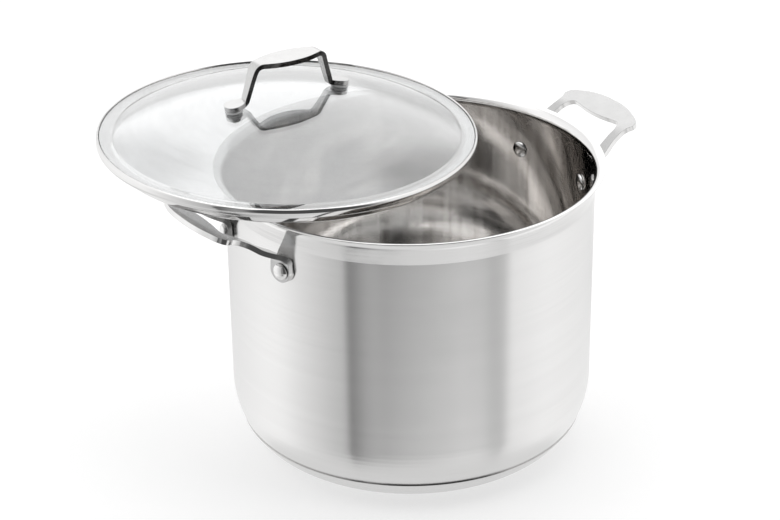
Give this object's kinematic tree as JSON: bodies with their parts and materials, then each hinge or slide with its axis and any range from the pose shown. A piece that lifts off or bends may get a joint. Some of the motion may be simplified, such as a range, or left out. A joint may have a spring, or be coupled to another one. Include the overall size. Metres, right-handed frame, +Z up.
{
  "type": "water bath canner",
  "caption": "Tall round stainless steel pot with a flared lip, riveted loop handles and a glass lid resting ajar across its rim.",
  "frame": {"origin": "centre of the flat underside of the base", "axes": "+Z up along the pot's axis; the two loop handles point along +X and -X; the lid lies ajar towards -X and +Y"},
  "size_m": [0.376, 0.3367, 0.2812],
  "materials": {
    "body_steel": "fine horizontal brushing outside under a mirror band at the lip, polished inside",
    "base_steel": "fine brushed side, spun-finish underside",
    "core_aluminium": "plain rolled disc, sealed inside the base",
    "cast_steel": "satin faces with polished edges",
    "rim_steel": "mirror polished rolled band",
    "fastener_steel": "polished",
    "lid_glass": "clear tempered glass",
    "silicone": "matt grey translucent silicone"
  },
  "bodies": {
    "pot": {"pot_shell": "body_steel", "base_core": "core_aluminium", "base_cap": "base_steel", "handle_left": "cast_steel", "handle_right": "cast_steel", "rivet_left_a": "fastener_steel", "rivet_left_b": "fastener_steel", "rivet_right_a": "fastener_steel", "rivet_right_b": "fastener_steel"},
    "lid": {"lid_glass": "lid_glass", "lid_rim": "rim_steel", "lid_handle": "cast_steel", "foot_seal_left": "silicone", "foot_seal_right": "silicone", "glass_seal_left": "silicone", "glass_seal_right": "silicone", "screw_washer_left": "fastener_steel", "screw_washer_right": "fastener_steel", "lid_screw_left": "fastener_steel", "lid_screw_right": "fastener_steel"}
  },
  "joints": [
    {"name": "lid_lift", "type": "slide", "parent": "pot", "child": "lid", "axis": [0, 0, 1], "range_m": [0, 0.2]}
  ]
}
